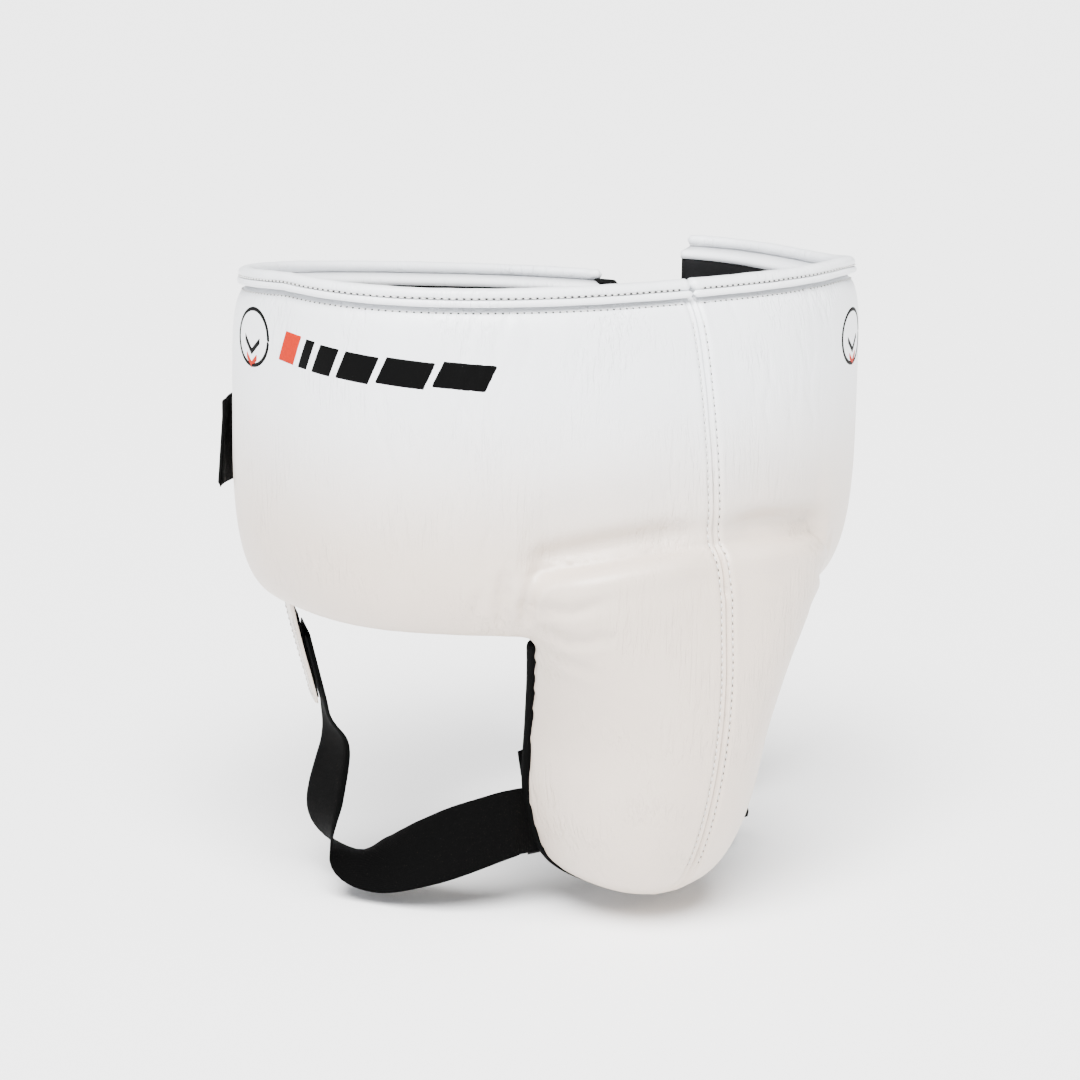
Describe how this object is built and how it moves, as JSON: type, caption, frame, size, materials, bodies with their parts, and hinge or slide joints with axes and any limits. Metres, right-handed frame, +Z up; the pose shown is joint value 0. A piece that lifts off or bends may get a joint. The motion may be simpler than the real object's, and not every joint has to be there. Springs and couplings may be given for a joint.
{
  "type": "boxing groin protector",
  "caption": "Padded leather boxing groin protector with a wrap-around waist pad, hanging cup, long back flap, elastic waist closure and elastic leg straps.",
  "frame": {"origin": "middle of the waist opening, level with the top of the rim at the front", "axes": "+Z up the wearer's body, -Y the way the wearer faces, +X to the wearer's left"},
  "size_m": [0.36, 0.3059, 0.3563],
  "materials": {
    "white_leather": "smooth semi-gloss",
    "nylon_lining": "woven nylon",
    "foam": "closed-cell foam",
    "cup_plastic": "moulded",
    "black_elastic": "woven elastic webbing",
    "fastener_tape": "hook and loop pile"
  },
  "bodies": {
    "root": {"front_leather_right": "white_leather", "front_leather_left": "white_leather", "waist_foam": "foam", "waist_lining": "nylon_lining", "rim_binding": "white_leather", "rim_piping": "white_leather", "groin_foam": "foam", "groin_cup": "cup_plastic", "cup_lining": "nylon_lining", "closure_patch": "white_leather", "leg_tab_patch_right": "white_leather", "leg_tab_patch_left": "white_leather", "strap_end_right": "black_elastic", "strap_end_left": "black_elastic", "strap_patch_right": "nylon_lining", "strap_patch_left": "nylon_lining"},
    "back_flap": {"flap_leather": "white_leather", "flap_foam": "foam", "flap_lining": "nylon_lining", "flap_binding": "white_leather", "flap_piping": "white_leather", "loop_field": "fastener_tape"},
    "waist_closure": {"closure_strap": "black_elastic", "closure_hook": "fastener_tape"},
    "leg_tab_right": {"leg_tab_right": "white_leather", "leg_tab_tape_right": "fastener_tape"},
    "leg_tab_left": {"leg_tab_left": "white_leather", "leg_tab_tape_left": "fastener_tape"},
    "leg_strap_right": {"leg_strap_right": "black_elastic", "leg_hook_right": "fastener_tape"},
    "leg_strap_left": {"leg_strap_left": "black_elastic", "leg_hook_left": "fastener_tape"}
  },
  "joints": [
    {"name": "back_flap_open", "type": "hinge", "parent": "root", "child": "back_flap", "pos_m": [-0.14621, 0.09239, -0.095], "axis": [0, 0, 1], "range_deg": [0, 22], "stiffness_Nm_per_rad": 1.5},
    {"name": "waist_closure_peel", "type": "hinge", "parent": "root", "child": "waist_closure", "pos_m": [0.16014, 0.08272, -0.106], "axis": [0, 0, -1], "range_deg": [0, 143]},
    {"name": "leg_tab_right_peel", "type": "hinge", "parent": "root", "child": "leg_tab_right", "pos_m": [-0.1436, 0.04667, -0.1878], "axis": [0.3986, 0.9171, 0], "range_deg": [0, 60], "stiffness_Nm_per_rad": 0.03},
    {"name": "leg_tab_left_peel", "type": "hinge", "parent": "root", "child": "leg_tab_left", "pos_m": [0.1436, 0.04667, -0.1878], "axis": [0.3986, -0.9171, 0], "range_deg": [0, 60], "stiffness_Nm_per_rad": 0.03},
    {"name": "leg_strap_right_swing", "type": "hinge", "parent": "root", "child": "leg_strap_right", "pos_m": [-0.06075, -0.06828, -0.303], "axis": [0, 0, -1], "range_deg": [0, 24]},
    {"name": "leg_strap_left_swing", "type": "hinge", "parent": "root", "child": "leg_strap_left", "pos_m": [0.06075, -0.06828, -0.303], "axis": [0, 0, 1], "range_deg": [0, 24]}
  ],
  "couplings": [
    {"joint": "waist_closure_peel", "follows": "back_flap_open", "ratio": 6.5},
    {"joint": "leg_strap_right_swing", "follows": "leg_tab_right_peel", "ratio": 0.4},
    {"joint": "leg_strap_left_swing", "follows": "leg_tab_left_peel", "ratio": 0.4}
  ]
}
